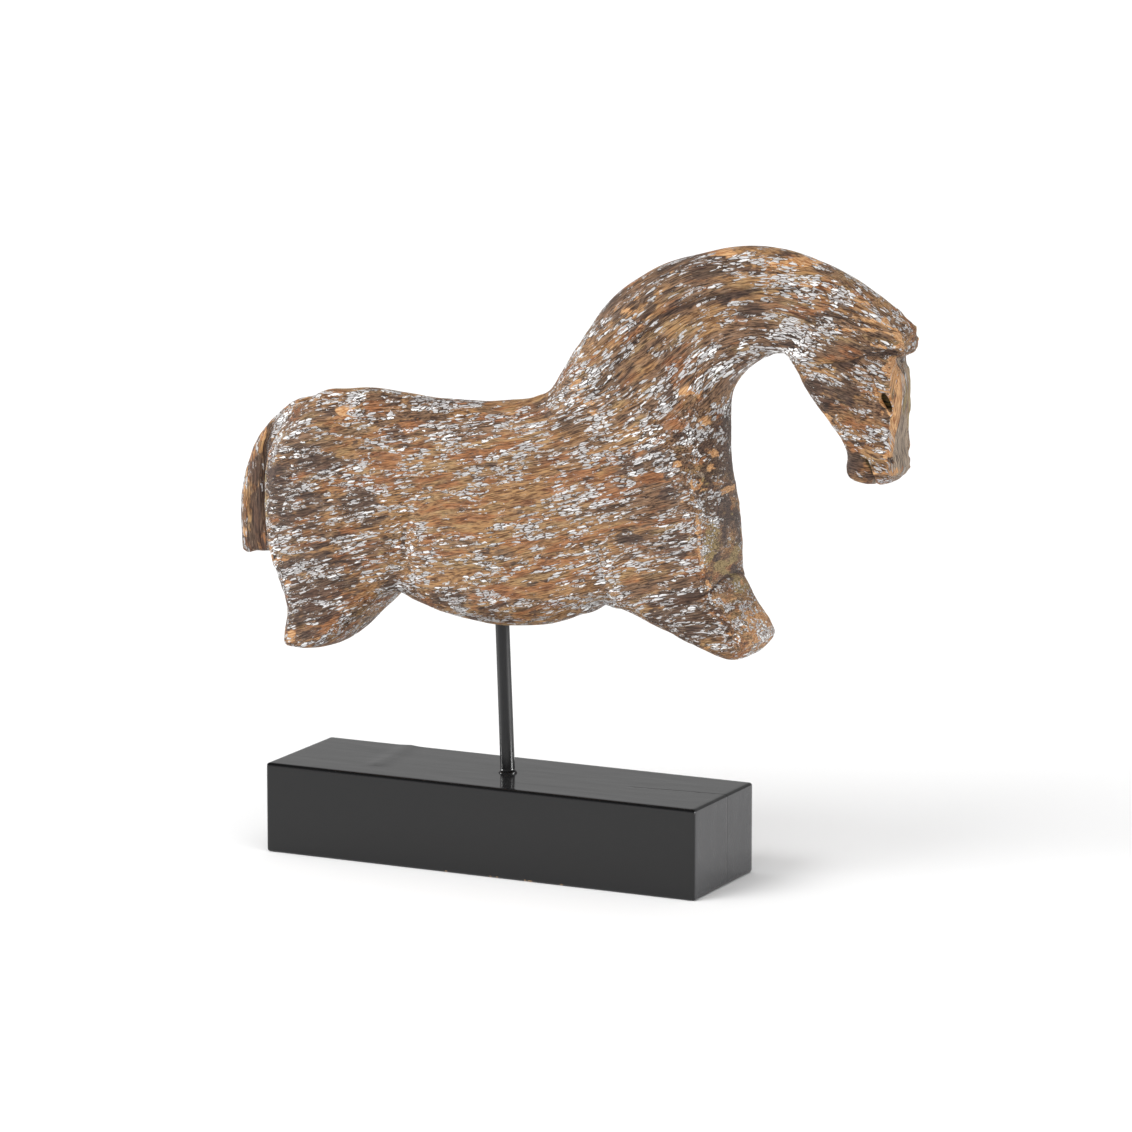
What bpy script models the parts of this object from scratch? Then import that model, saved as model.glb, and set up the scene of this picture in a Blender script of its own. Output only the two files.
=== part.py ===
"""Carved wooden horse on a metal rod and a lacquered block.

The horse is made the way a carver makes it from a plank: its outline is sawn out,
the edges are rounded over, and the forms and grooves are then cut into both sides.
Metres, +Z up, +X towards the head, origin at the middle of the block's underside.
"""

import math

import bmesh
import bpy
import numpy as np
from mathutils import Matrix, Vector

MM = 0.001

# Block
BASE_LENGTH = 260 * MM
BASE_DEPTH = 75 * MM
BASE_HEIGHT = 50.5 * MM
BASE_EDGE = 1.2 * MM
BASE_EDGE_STEPS = 3

# Rod
ROD_DIAMETER = 7.6 * MM
ROD_FREE = 81.5 * MM
ROD_LEAN = math.radians(2.2)
ROD_IN_BASE = 20 * MM
ROD_IN_BELLY = 22 * MM
ROD_CHAMFER = 0.5 * MM
FIT = 0.3 * MM
ROUND_SIDES = 32
SHARP_ANGLE = math.radians(40)

# Horse: its plank, and the size its pattern is enlarged to
HORSE_LENGTH = 401 * MM
PLANK_THICKNESS = 54 * MM
TAIL_THICKNESS = 17 * MM
HORSE_TRIANGLES = 8200

# Cross-section: 2 rounds an edge over as a circle does, and more is squarer.
EDGE_POWER = 2.4

# How the carving is worked out, in pattern millimetres
SPAN_STEPS = 5
CARVING_STEP = 1.7
CARVING_ROUNDS = 3
CARVING_PASSES = 3
SMOOTHING_PASSES = 3
LONGEST_CUT = 4.0
FEELER = 0.3
LEAST_SLOPE = 0.05
WELD = 1e-4

# Grid on which the pattern's values are looked up while carving
CHART_LOW = (-175, -40)
CHART_HIGH = (260, 235)
CHART_STEP = 0.8
CHART_BLOCK = 500

# The pattern is drawn in millimetres from the point where the rod meets the belly.
# Outline from the withers over the crest, round the head and back along the belly:
# along, up, and how far the edge is rounded over there.
BODY_OUTLINE = (
    (4, 123.6, 25), (20, 126.8, 21), (33, 133.2, 18), (50.5, 159, 15), (69.2, 184, 14),
    (94, 202.2, 13), (124, 212.6, 12), (150, 216.5, 12), (174, 213.5, 12), (199.4, 204.7, 10),
    (220.9, 192.2, 7), (236.4, 181.8, 4), (241, 176.2, 4), (242, 168.8, 4), (237.5, 164.5, 4),
    (233.5, 161.5, 4), (235.4, 154, 4), (238, 143, 4), (236.2, 128, 4), (235.6, 116, 5),
    (237, 106.5, 6), (232.5, 99.5, 6), (220, 95.2, 5), (209, 97.5, 5), (206.5, 104, 5),
    (206, 113, 7), (197.2, 126.7, 9), (185, 142.5, 10), (174, 159.5, 9), (164, 162, 9),
    (152.6, 156.5, 11), (139.3, 145.5, 14), (133.6, 134, 20), (133.4, 118, 26),
    (133.4, 98, 20), (135.8, 76, 12), (137.4, 55, 11), (138.2, 39.5, 12), (145.5, 26.5, 14),
    (153.5, 14, 10), (155.7, 4.5, 8), (146.5, -4.4, 8), (130.3, -1.8, 9), (109.8, 5.6, 11),
    (85.3, 14.5, 13), (66.5, 19, 14), (55, 13.4, 15), (40, 6.4, 18), (24, 2.8, 19), (0, 1.2, 20),
    (-26, 3.9, 19), (-47.5, 10, 16), (-60.8, 13.6, 12), (-72, 5, 9), (-92, -13.5, 8),
    (-104, -20.3, 6), (-118, -21.2, 5), (-125.3, -19, 5), (-127, -12, 8), (-126, 2, 11),
    (-130.8, 16, 12), (-136.4, 35, 12), (-138, 60, 12), (-136, 86, 14), (-127, 104.5, 17),
    (-112, 117.2, 22), (-94, 122.7, 25), (-78, 124, 27), (-60, 123, 28), (-38, 121.2, 28),
    (-14, 121.8, 28),
)

# The cut-off tail, a narrower strip let into the rump
TAIL_OUTLINE = (
    (-110, 113, 6), (-124, 113.6, 5), (-139, 104.6, 5), (-149.5, 90.5, 5),
    (-155.5, 76, 5), (-159, 60, 5), (-159, 42, 5), (-157.2, 28, 3), (-149, 29, 3),
    (-139, 29.5, 4), (-131, 34, 5), (-128, 60, 5), (-122, 90, 5),
)

# Size of one unit of the pattern, which enlarges it until the horse is HORSE_LENGTH long
PATTERN_FRONT = max(knot[0] for knot in BODY_OUTLINE)
PATTERN_BACK = min(knot[0] for knot in TAIL_OUTLINE)
PATTERN_UNIT = HORSE_LENGTH / (PATTERN_FRONT - PATTERN_BACK)

# Half thickness as a share of half the plank: along, up, reach, share.
FULLNESS = (
    (-105, 85, 34, 0.98), (-108, 35, 30, 1.0), (-112, -8, 26, 0.92), (-52, 42, 22, 0.86),
    (-48, 96, 30, 0.92), (0, 50, 34, 0.99), (20, 100, 30, 0.94), (86, 62, 32, 1.04),
    (135, 12, 26, 0.97), (124, 104, 24, 0.88), (40, 132, 22, 0.86), (92, 150, 26, 0.84),
    (124, 182, 24, 0.74), (166, 190, 22, 0.68), (204, 178, 15, 0.62), (238, 173, 9, 0.34),
    (196, 148, 13, 0.68), (214, 146, 11, 0.6), (236, 146, 8, 0.32), (234, 124, 8, 0.36),
    (218, 118, 10, 0.5), (224, 106, 9, 0.44), (210, 104, 9, 0.42),
)
TAIL_FILLET = 1.5

# The sides thin by this share from SIDE_REACH inside the outline out to its edge.
SIDE_FALL = 0.08
SIDE_REACH = 45.0

# The head keeps smaller facets than the trunk, inside this circle of the pattern.
HEAD_CENTRE = Vector((214, 144))
HEAD_REACH = 56.0
HEAD_CARE = 1.7

# Raised forms: outline with the height at each point. RAISED adds the width of its slope.
MANE = (
    (38, 122, 0), (52, 126, 0.6), (61, 132, 1.4), (75.5, 148, 2.2), (92, 168, 2.4),
    (104, 179, 2.4), (127, 190, 2.4), (161, 198, 2.4), (193, 198.5, 2.4), (208, 192, 2.4),
    (224, 186, 2.2), (238, 172, 2), (262, 168, 2), (262, 220, 2), (140, 250, 2.4),
    (30, 190, 2), (16, 130, 0),
)
HEAD = (
    (150, 150, 2.4), (172, 161, 2.4), (181, 167, 2.4), (188, 175, 2.4), (200, 181.5, 2.4),
    (216, 185, 2.4), (236, 188, 2.4), (262, 180, 2.4), (262, 80, 2.4), (190, 80, 2.4),
)
EAR = (
    (201, 175.5, 0.4), (209, 179.5, 1.2), (217, 180.5, 1.6), (226, 179, 1.6), (236, 175, 1.4),
    (244, 170, 1.2), (236, 168.5, 1.4), (226, 169.5, 1.6), (216, 171.5, 1.2), (208, 173.5, 0.8),
)
RAISED = ((MANE, 4.5), (HEAD, 6.0), (EAR, 3.0))

# Grooves, and ridges with a depth under 0: path with the depth at each point, half width.
GROOVES = (
    (((-42, 82, 0.3), (-45, 66, 1.2), (-49, 48, 2.2), (-51, 34, 2.6), (-54, 12, 2.6)), 8.0),
    (((66, 62, 0.2), (68, 48, 1.2), (71, 32, 2.2), (71, 12, 2.4)), 6.0),
    (((94, 123, -0.6), (106, 112, -1.6), (115, 101, -2), (121, 88, -2), (124, 70, -1.6),
      (126, 48, -1.2)), 5.0),
    (((184, 154, 0.8), (199, 159, 1.4), (217, 161.5, 1.6), (228, 164, 2), (242, 168, 2.4)), 2.4),
    (((226.5, 147, 2.4), (229.5, 142, 4), (232, 137, 2.4)), 2.6),
    (((197, 131, 0.4), (206, 123, 1.2), (216, 120.5, 1.4), (228, 120, 0.6)), 2.6),
    (((218, 108, 1), (220, 102, 2), (221.5, 90, 2.6)), 2.2),
)


def clear_scene():
    for obj in list(bpy.data.objects):
        bpy.data.objects.remove(obj, do_unlink=True)


def new_collection(name):
    found = bpy.data.collections.new(name)
    bpy.context.scene.collection.children.link(found)
    return found


def material(name, colour, roughness, metallic=0.0):
    made = bpy.data.materials.new(name)
    made.use_nodes = True
    shader = made.node_tree.nodes["Principled BSDF"]
    shader.inputs["Base Color"].default_value = (*colour, 1.0)
    shader.inputs["Roughness"].default_value = roughness
    shader.inputs["Metallic"].default_value = metallic
    made.diffuse_color = (*colour, 1.0)
    return made


def add_object(name, mesh, group, matrix=None):
    obj = bpy.data.objects.new(name, mesh)
    group.objects.link(obj)
    if matrix is not None:
        obj.matrix_world = matrix
    return obj


def evaluated_mesh(obj):
    bpy.context.view_layer.update()
    graph = bpy.context.evaluated_depsgraph_get()
    return bpy.data.meshes.new_from_object(obj.evaluated_get(graph))


def smooth_loop(points):
    """Catmull-Rom curve through the closed list of points, SPAN_STEPS to a span."""
    knots = np.array(points, float)
    before, after, beyond = np.roll(knots, 1, 0), np.roll(knots, -1, 0), np.roll(knots, -2, 0)
    t = (np.arange(SPAN_STEPS) / SPAN_STEPS)[None, :, None]
    a, b, c, d = (k[:, None, :] for k in (before, knots, after, beyond))
    curve = 0.5 * (
        2 * b + (c - a) * t + (2 * a - 5 * b + 4 * c - d) * t**2 + (3 * b - a - 3 * c + d) * t**3
    )
    return curve.reshape(-1, knots.shape[1])


def nearest_on_path(points, path, closed):
    """Distance in the plane to a path of three-valued knots, and its third value at that place."""
    ends = np.roll(path, -1, 0) if closed else path[1:]
    starts = path if closed else path[:-1]
    run, rise = (ends - starts)[:, :2].T
    across, up = points[:, :1] - starts[:, 0], points[:, 1:] - starts[:, 1]
    share = np.clip((across * run + up * rise) / (run**2 + rise**2), 0, 1)
    squared = (across - share * run) ** 2 + (up - share * rise) ** 2
    nearest = squared.argmin(1)
    rows = np.arange(len(points))
    share = share[rows, nearest]
    third = starts[nearest, 2] * (1 - share) + ends[nearest, 2] * share
    return np.sqrt(squared[rows, nearest]), third


def is_inside(points, loop):
    x, z = points[:, :1], points[:, 1:]
    x0, z0 = loop[:, 0], loop[:, 1]
    x1, z1 = np.roll(x0, -1), np.roll(z0, -1)
    crosses = (z0 > z) != (z1 > z)
    rise = np.where(z1 == z0, 1.0, z1 - z0)
    at = x0 + (z - z0) * (x1 - x0) / rise
    return (crosses & (x < at)).sum(1) % 2 == 1


def depth_inside(points, loop):
    """Signed distance to the loop, more than 0 inside, and the loop's third value there."""
    distance, third = nearest_on_path(points, loop, True)
    return np.where(is_inside(points, loop[:, :2]), distance, -distance), third


def soft_step(value, width):
    t = np.clip(value / width + 0.5, 0, 1)
    return t * t * (3 - 2 * t)


def fullness(points):
    spots = np.array(FULLNESS, float)
    away = ((points[:, None, :] - spots[None, :, :2]) ** 2).sum(2)
    weight = np.exp(-away / (2 * spots[:, 2] ** 2)) + 1e-9
    return (weight * spots[:, 3]).sum(1) / weight.sum(1)


def relief(points):
    """Height of the carved forms over the plain rounded plank, in pattern millimetres."""
    height = np.zeros(len(points))
    for outline, slope in RAISED:
        depth, rise = depth_inside(points, smooth_loop(outline))
        height += rise * soft_step(depth, slope)
    for path, reach in GROOVES:
        distance, depth = nearest_on_path(points, np.array(path, float), False)
        height -= depth * np.exp(-((distance / reach) ** 2))
    return height


def rounded_plank(depth, rounding, across, half):
    """About how far a point is outside a plank with its edges rounded over."""
    edge = np.clip(1 - depth / rounding, 0, None)
    side = np.abs(across) / half
    reach = (edge**EDGE_POWER + side**EDGE_POWER) ** (1 / EDGE_POWER)
    return (reach - 1) * np.minimum(rounding, half)


def chart(function):
    """Works the function out once on a grid over the pattern, and returns a quick look-up of it."""
    low, high = np.array(CHART_LOW, float), np.array(CHART_HIGH, float)
    across, up = (np.arange(low[i], high[i] + CHART_STEP, CHART_STEP) for i in (0, 1))
    grid = np.stack(np.meshgrid(across, up, indexing="ij"), -1).reshape(-1, 2)
    blocks = np.array_split(grid, len(grid) // CHART_BLOCK)
    values = np.concatenate([function(block) for block in blocks])
    values = values.reshape(len(across), len(up), -1)

    def look_up(points):
        place = (points - low) / CHART_STEP
        place = np.clip(place, 0, np.array(values.shape[:2]) - 1.001)
        cell = place.astype(int)
        u, v = (place - cell).T[..., None]
        i, j = cell.T
        below = values[i, j] * (1 - u) + values[i + 1, j] * u
        above = values[i, j + 1] * (1 - u) + values[i + 1, j + 1] * u
        return (below * (1 - v) + above * v).T

    return look_up


def pattern_values(points):
    """For each point of the pattern: depth inside body and tail, their rounding, and half thickness."""
    body, body_rounding = depth_inside(points, smooth_loop(BODY_OUTLINE))
    tail, tail_rounding = depth_inside(points, smooth_loop(TAIL_OUTLINE))
    fall = 1 - SIDE_FALL * np.clip(1 - body / SIDE_REACH, 0, 1) ** 2
    half = fullness(points) * fall * PLANK_THICKNESS / 2 / PATTERN_UNIT + relief(points)
    return np.stack([body, body_rounding, tail, tail_rounding, half], 1)


def outside_horse(points, pattern):
    """Signed distance, roughly, from the carved surface, in pattern millimetres."""
    body, body_rounding, tail, tail_rounding, half = pattern(points[:, [0, 2]])
    trunk = rounded_plank(body, body_rounding, points[:, 1], half)
    strip = rounded_plank(tail, tail_rounding, points[:, 1], TAIL_THICKNESS / 2 / PATTERN_UNIT)
    overlap = np.clip(1 - np.abs(trunk - strip) / TAIL_FILLET, 0, 1)
    return np.minimum(trunk, strip) - TAIL_FILLET / 4 * overlap**2


def sawn_blank(name, loop, half, group):
    """The outline sawn from a plank: a filled curve, extruded both ways, with its caps welded."""
    curve = bpy.data.curves.new(name, "CURVE")
    curve.dimensions = "2D"
    curve.fill_mode = "BOTH"
    curve.extrude = half
    spline = curve.splines.new("POLY")
    spline.points.add(len(loop) - 1)
    for point, knot in zip(spline.points, loop):
        point.co = (knot[0], knot[1], 0, 1)
    spline.use_cyclic_u = True
    drawn = add_object(name + "_outline", curve, group, Matrix.Rotation(math.radians(90), 4, "X"))
    mesh = evaluated_mesh(drawn)
    mesh.transform(drawn.matrix_world)
    bpy.data.objects.remove(drawn, do_unlink=True)
    solid = bmesh.new()
    solid.from_mesh(mesh)
    bmesh.ops.remove_doubles(solid, verts=solid.verts, dist=WELD)
    bmesh.ops.recalc_face_normals(solid, faces=solid.faces)
    solid.to_mesh(mesh)
    solid.free()
    blank = add_object(name, mesh, group)
    blank.hide_render = True
    blank.display_type = "WIRE"
    return blank


def add_modifier(obj, kind, **settings):
    modifier = obj.modifiers.new(kind.title(), kind)
    for key, value in settings.items():
        setattr(modifier, key, value)
    return modifier


def applied(obj):
    """Replaces the object's mesh with what its modifiers make of it."""
    mesh = evaluated_mesh(obj)
    obj.modifiers.clear()
    obj.data = mesh


def carve(mesh, pattern):
    """Moves each vertex down the slope of outside_horse until it lies on the carved surface."""
    points = np.empty(len(mesh.vertices) * 3)
    mesh.vertices.foreach_get("co", points)
    points = points.reshape(-1, 3)
    for _ in range(CARVING_PASSES):
        clear = outside_horse(points, pattern)
        felt = [outside_horse(points + FEELER * axis, pattern) for axis in np.eye(3)]
        slope = (np.stack(felt, 1) - clear[:, None]) / FEELER
        steep = np.maximum((slope**2).sum(1), LEAST_SLOPE)
        move = slope * (clear / steep)[:, None]
        length = np.linalg.norm(move, axis=1)[:, None]
        points -= move * np.minimum(1, LONGEST_CUT / np.maximum(length, 1e-9))
    mesh.vertices.foreach_set("co", points.reshape(-1))
    mesh.update()


def make_horse(parts, guides, wood):
    """Saws the two blanks, joins them, carves, and seats the result on the rod."""
    half = PLANK_THICKNESS / 2 / PATTERN_UNIT
    tail_half = TAIL_THICKNESS / 2 / PATTERN_UNIT
    pattern = chart(pattern_values)
    body = sawn_blank("body_blank", smooth_loop(BODY_OUTLINE), half, guides)
    tail = sawn_blank("tail_blank", smooth_loop(TAIL_OUTLINE), tail_half, guides)
    add_modifier(body, "BOOLEAN", operation="UNION", object=tail)
    for _ in range(CARVING_ROUNDS):
        add_modifier(body, "REMESH", mode="VOXEL", voxel_size=CARVING_STEP)
        applied(body)
        carve(body.data, pattern)
        add_modifier(body, "SMOOTH", iterations=SMOOTHING_PASSES)
        applied(body)
        carve(body.data, pattern)
    mesh = body.data.copy()
    bpy.data.objects.remove(body, do_unlink=True)
    bpy.data.objects.remove(tail, do_unlink=True)
    mesh.transform(Matrix.Scale(PATTERN_UNIT, 4))
    horse = add_object("horse", mesh, parts, Matrix.Translation(belly_point()))
    mesh.materials.clear()
    mesh.materials.append(wood)
    head = horse.vertex_groups.new(name="head")
    for vertex in mesh.vertices:
        if (vertex.co.xz / PATTERN_UNIT - HEAD_CENTRE).length < HEAD_REACH:
            head.add([vertex.index], 1.0, "REPLACE")
    faces = sum(len(face.vertices) - 2 for face in mesh.polygons)
    add_modifier(horse, "DECIMATE", ratio=HEAD_CARE * HORSE_TRIANGLES / faces)
    trunk = add_modifier(horse, "DECIMATE", ratio=1 / HEAD_CARE, use_collapse_triangulate=True)
    trunk.vertex_group = head.name
    trunk.invert_vertex_group = True
    return horse


def rod_direction():
    return Vector((-math.sin(ROD_LEAN), 0, math.cos(ROD_LEAN)))


def rod_foot():
    return Vector((0, 0, BASE_HEIGHT))


def belly_point():
    return rod_foot() + rod_direction() * ROD_FREE


def rod_placing(from_foot):
    """Matrix that stands a Z-cylinder on the rod's axis, this far up it from the block's top."""
    return Matrix.Translation(rod_foot() + rod_direction() * from_foot) @ Matrix.Rotation(
        -ROD_LEAN, 4, "Y"
    )


def cylinder(name, radius, start, end, group):
    """A cylinder on the rod's axis, from start to end as measured from the block's top."""
    mesh = bpy.data.meshes.new(name)
    solid = bmesh.new()
    bmesh.ops.create_cone(
        solid,
        cap_ends=True,
        segments=ROUND_SIDES,
        radius1=radius,
        radius2=radius,
        depth=end - start,
        matrix=Matrix.Translation((0, 0, (end - start) / 2)),
    )
    solid.to_mesh(mesh)
    solid.free()
    mesh.shade_smooth()
    mesh.set_sharp_from_angle(angle=SHARP_ANGLE)
    return add_object(name, mesh, group, rod_placing(start))


def socket(piece, name, start, end, group):
    """Drills the rod's hole into the piece, with the fit's clearance round it."""
    cutter = cylinder(name, ROD_DIAMETER / 2 + FIT, start, end, group)
    cutter.hide_render = True
    cutter.display_type = "WIRE"
    add_modifier(piece, "BOOLEAN", operation="DIFFERENCE", solver="EXACT", object=cutter)


def make_rod(parts, metal):
    rod = cylinder("rod", ROD_DIAMETER / 2, -ROD_IN_BASE, ROD_FREE + ROD_IN_BELLY, parts)
    rod.data.materials.append(metal)
    add_modifier(rod, "BEVEL", width=ROD_CHAMFER, segments=1, angle_limit=SHARP_ANGLE)
    return rod


def make_base(parts, lacquer):
    mesh = bpy.data.meshes.new("base")
    solid = bmesh.new()
    bmesh.ops.create_cube(solid, size=1)
    bmesh.ops.scale(solid, vec=(BASE_LENGTH, BASE_DEPTH, BASE_HEIGHT), verts=solid.verts)
    solid.to_mesh(mesh)
    solid.free()
    base = add_object("base", mesh, parts, Matrix.Translation((0, 0, BASE_HEIGHT / 2)))
    mesh.materials.append(lacquer)
    add_modifier(base, "BEVEL", width=BASE_EDGE, segments=BASE_EDGE_STEPS)
    return base


def main():
    clear_scene()
    parts = new_collection("horse_carving")
    guides = new_collection("cutters")
    base = make_base(parts, material("black lacquered wood", (0.012, 0.012, 0.013), 0.25))
    make_rod(parts, material("blackened steel", (0.02, 0.02, 0.022), 0.35, 1.0))
    horse = make_horse(parts, guides, material("weathered carved wood", (0.19, 0.09, 0.045), 0.7))
    socket(base, "base_socket", -ROD_IN_BASE - FIT, BASE_HEIGHT, guides)
    socket(horse, "belly_socket", ROD_FREE - ROD_IN_BELLY, ROD_FREE + ROD_IN_BELLY + FIT, guides)


main()
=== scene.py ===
import math

import bmesh
import bpy
import numpy as np
from mathutils import Matrix, Vector, noise
from mathutils.bvhtree import BVHTree


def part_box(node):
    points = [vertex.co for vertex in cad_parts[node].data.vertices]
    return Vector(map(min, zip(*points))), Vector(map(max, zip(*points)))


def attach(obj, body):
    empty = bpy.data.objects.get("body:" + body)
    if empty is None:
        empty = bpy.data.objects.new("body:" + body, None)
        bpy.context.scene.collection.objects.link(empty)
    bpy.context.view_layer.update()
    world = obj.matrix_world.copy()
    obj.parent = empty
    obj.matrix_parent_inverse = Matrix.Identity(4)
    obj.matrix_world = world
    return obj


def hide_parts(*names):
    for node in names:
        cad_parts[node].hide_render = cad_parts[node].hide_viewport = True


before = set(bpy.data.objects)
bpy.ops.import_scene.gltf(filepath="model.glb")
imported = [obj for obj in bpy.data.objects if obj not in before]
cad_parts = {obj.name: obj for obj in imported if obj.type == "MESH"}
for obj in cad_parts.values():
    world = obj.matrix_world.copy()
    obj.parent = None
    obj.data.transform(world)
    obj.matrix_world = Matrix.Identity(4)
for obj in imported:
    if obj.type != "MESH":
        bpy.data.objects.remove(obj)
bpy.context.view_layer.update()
print("frame loaded:", ", ".join(sorted(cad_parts)))

mm = 0.001
scene = bpy.context.scene


# Small helpers. First, settings that many shader nodes share.

times = {"operation": "MULTIPLY"}
timesPlus = {"operation": "MULTIPLY_ADD"}
smoothly = {"interpolation_type": "SMOOTHSTEP"}
divided = {"operation": "DIVIDE"}
coloured = {"data_type": "RGBA"}


def colourOf(hexText):  # sRGB hex to the linear values that Blender's sockets take
    channels = [int(hexText[i:i + 2], 16) / 255 for i in (1, 3, 5)]
    linear = [c / 12.92 if c <= 0.04045 else ((c + 0.055) / 1.055) ** 2.4 for c in channels]
    return (*linear, 1.0)


def addNode(tree, kind, settings=None, inputs=None, out=0):  # an input is a value or another node's output
    node = tree.nodes.new("ShaderNode" + kind)
    for name, value in (settings or {}).items():
        setattr(node, name, value)
    for socket, value in (inputs or {}).items():
        if isinstance(value, bpy.types.NodeSocket):
            tree.links.new(value, node.inputs[socket])
        else:
            node.inputs[socket].default_value = value
    return node.outputs[out] if node.outputs else None


def newMaterial(name):
    made = bpy.data.materials.new(name)
    made.use_nodes = True
    made.node_tree.nodes.clear()
    return made, made.node_tree


def newObject(name, data):
    made = bpy.data.objects.new(name, data)
    scene.collection.objects.link(made)
    return made


def newPiece(name, mesh, material, nodeName):  # an object that stands for one solid of the frame
    piece = newObject(name, mesh)
    mesh.materials.clear()
    mesh.materials.append(material)
    mesh.shade_smooth()
    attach(piece, "root")
    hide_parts(nodeName)
    return piece


def modified(mesh, kind, settings):  # the mesh as one modifier leaves it
    work = newObject("blank", mesh)
    modifier = work.modifiers.new("change", kind)
    for name, value in settings.items():
        setattr(modifier, name, value)
    bpy.context.view_layer.update()
    made = bpy.data.meshes.new_from_object(work.evaluated_get(bpy.context.evaluated_depsgraph_get()))
    bpy.data.objects.remove(work, do_unlink=True)
    return made


def solidOf(mesh):
    solid = bmesh.new()
    solid.from_mesh(mesh)
    return solid


def meshOf(solid, name):
    mesh = bpy.data.meshes.new(name)
    solid.to_mesh(mesh)
    solid.free()
    return mesh


def addEdgesAt(solid, place, normal):  # where a plane meets the solid, which stays whole
    parts = solid.verts[:] + solid.edges[:] + solid.faces[:]
    bmesh.ops.bisect_plane(solid, geom=parts, plane_co=place, plane_no=normal)


def readMesh(parts, field, width=3, kind=float):
    values = np.empty(len(parts) * width, kind)
    parts.foreach_get(field, values)
    return values.reshape(-1, width)


def writeVertices(mesh, points):
    mesh.vertices.foreach_set("co", points.reshape(-1))
    mesh.update()


def smoothStep(value, low, high):
    t = np.clip((value - low) / (high - low), 0, 1)
    return t * t * (3 - 2 * t)


def bell(value, middle, reach):  # 1 in the middle, fading on both sides
    return np.exp(-(((value - middle) / reach) ** 2))


# Camera, floor and light, as in a product photographer's white studio

cameraView = {
    "azimuth": 26.235,  # degrees round from the horse's right side towards its head
    "elevation": 10.963,
    "distance": 3.4522,
    "target": (0.03538, 0.0, 0.16765),
    "lens": 203.5,
    "farEnd": 60,
}

studio = {
    "floorSize": 40.0,
    "floorColour": "#fafafa",
    "roomColour": "#ffffff",
    "wallGlow": 0.47,  # how bright the room is at eye level
    "ceilingGlow": 0.12,  # and straight up, which the block's front edge mirrors
    "glowHeights": (0.3, 0.8),  # where the one starts and ends turning into the other: 1 is straight up
    # name, direction it comes from, how wide it spreads in degrees, strength, lights paint or gloss
    "lights": (
        ("overheadSilk", (-0.1, -0.2, 1.0), 80, 1.8, "paint"),
        ("softbox", (-0.65, -0.95, 0.8), 40, 1.6, "paint"),
        ("rightFill", (1.0, -0.6, 0.6), 60, 0.6, "paint"),
        ("rightStrip", (1.0, 0.2, 0.08), 22, 3.0, "gloss"),
        ("leftStrip", (-1.0, -0.25, 0.08), 16, 2.0, "gloss"),
    ),
}


def setCamera(view):
    azimuth, elevation = math.radians(view["azimuth"]), math.radians(view["elevation"])
    back = Vector((
        math.sin(azimuth) * math.cos(elevation),
        -math.cos(azimuth) * math.cos(elevation),
        math.sin(elevation),
    ))
    camera = newObject("camera", bpy.data.cameras.new("camera"))
    camera.location = Vector(view["target"]) + back * view["distance"]
    camera.rotation_euler = back.to_track_quat("Z", "Y").to_euler()
    camera.data.lens = view["lens"]
    camera.data.clip_end = view["farEnd"]
    scene.camera = camera


def setStudio(room):
    sheet = bmesh.new()
    bmesh.ops.create_grid(sheet, x_segments=1, y_segments=1, size=room["floorSize"] / 2)
    floor = newObject("floor", meshOf(sheet, "floor"))
    paint, tree = newMaterial("mattWhiteFloorPaint")  # plain, so that the eye finds only the soft shadow
    shader = addNode(tree, "BsdfDiffuse", None, {"Color": colourOf(room["floorColour"])})
    addNode(tree, "OutputMaterial", None, {"Surface": shader})
    floor.data.materials.append(paint)
    world = bpy.data.worlds.new("room")
    world.use_nodes = True
    tree = world.node_tree
    direction = addNode(tree, "TexCoord")
    upward = addNode(tree, "SeparateXYZ", None, {0: direction}, "Z")
    glow = addNode(tree, "MapRange", smoothly, {
        "Value": upward, "From Min": room["glowHeights"][0], "From Max": room["glowHeights"][1],
        "To Min": room["wallGlow"], "To Max": room["ceilingGlow"],
    })
    tree.links.new(glow, tree.nodes["Background"].inputs["Strength"])
    tree.nodes["Background"].inputs["Color"].default_value = colourOf(room["roomColour"])
    scene.world = world
    for name, direction, spread, strength, seenIn in room["lights"]:
        lamp = bpy.data.lights.new(name, "SUN")
        lamp.angle = math.radians(spread)
        lamp.energy = strength
        holder = newObject(name, lamp)
        holder.rotation_euler = Vector(direction).to_track_quat("Z", "Y").to_euler()
        holder.visible_diffuse = seenIn == "paint"
        holder.visible_glossy = seenIn == "gloss"


scene.view_settings.view_transform = "Standard"
setCamera(cameraView)
setStudio(studio)
print("camera, floor and lights placed")


# The carved horse. Its places are millimetres along and up from where the rod meets the belly.

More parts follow.
